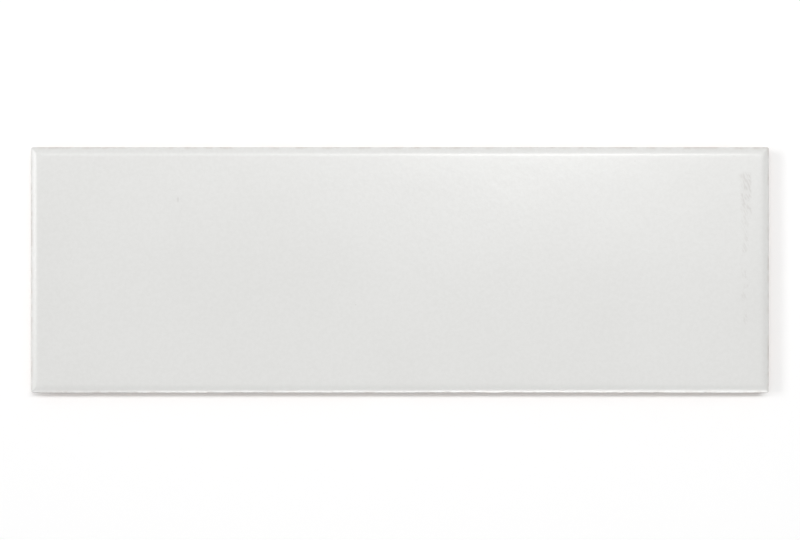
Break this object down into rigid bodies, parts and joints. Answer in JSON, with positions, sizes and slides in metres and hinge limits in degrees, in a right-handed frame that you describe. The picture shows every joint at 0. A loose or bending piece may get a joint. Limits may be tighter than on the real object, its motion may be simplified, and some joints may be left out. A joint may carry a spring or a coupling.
{
  "type": "subway wall tile",
  "caption": "Flat rectangular glazed ceramic wall tile with a cushioned face edge, square sides for grout joints and a keyed back that is set in adhesive to clad a wall.",
  "frame": {"origin": "middle of the plane that the ribs of the back stand on", "axes": "+X along the tile's length, +Y across its width, +Z out of the glazed face"},
  "size_m": [0.3, 0.1, 0.008],
  "materials": {
    "white_glaze": "satin"
  },
  "bodies": {
    "root": {"wall_tile": "white_glaze"}
  },
  "joints": []
}
